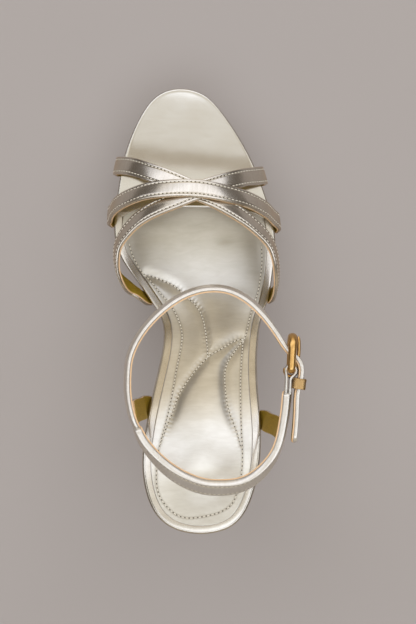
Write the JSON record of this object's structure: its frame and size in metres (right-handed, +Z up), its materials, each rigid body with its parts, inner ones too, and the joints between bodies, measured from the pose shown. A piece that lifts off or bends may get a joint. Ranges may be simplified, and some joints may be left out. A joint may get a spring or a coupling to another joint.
{
  "type": "platform sandal",
  "caption": "Right-foot platform sandal with a covered block heel, crossed toe straps, a padded footbed and a buckled ankle strap.",
  "frame": {"origin": "bottom centre of the bounding box, on the floor that the sandal stands on", "axes": "+Y to the toe, +X to the outer side of the right foot, +Z up"},
  "size_m": [0.0968, 0.2254, 0.1789],
  "materials": {
    "cover_leather": "champagne metallic leather, satin",
    "strap_leather": "champagne metallic leather, satin, rolled edges",
    "sock_leather": "champagne metallic leather over foam, quilted",
    "outsole_sheet": "matt tan sole sheet",
    "top_piece_rubber": "matt tan rubber",
    "gilt_metal": "satin gilt"
  },
  "bodies": {
    "root": {"footbed_rim": "cover_leather", "platform": "cover_leather", "heel": "cover_leather", "vamp_straps": "strap_leather", "ankle_straps": "strap_leather", "sock": "sock_leather", "outsole": "outsole_sheet", "heel_top_piece": "top_piece_rubber", "buckle_frame": "gilt_metal", "buckle_prong": "gilt_metal", "strap_keeper": "gilt_metal"}
  },
  "joints": []
}
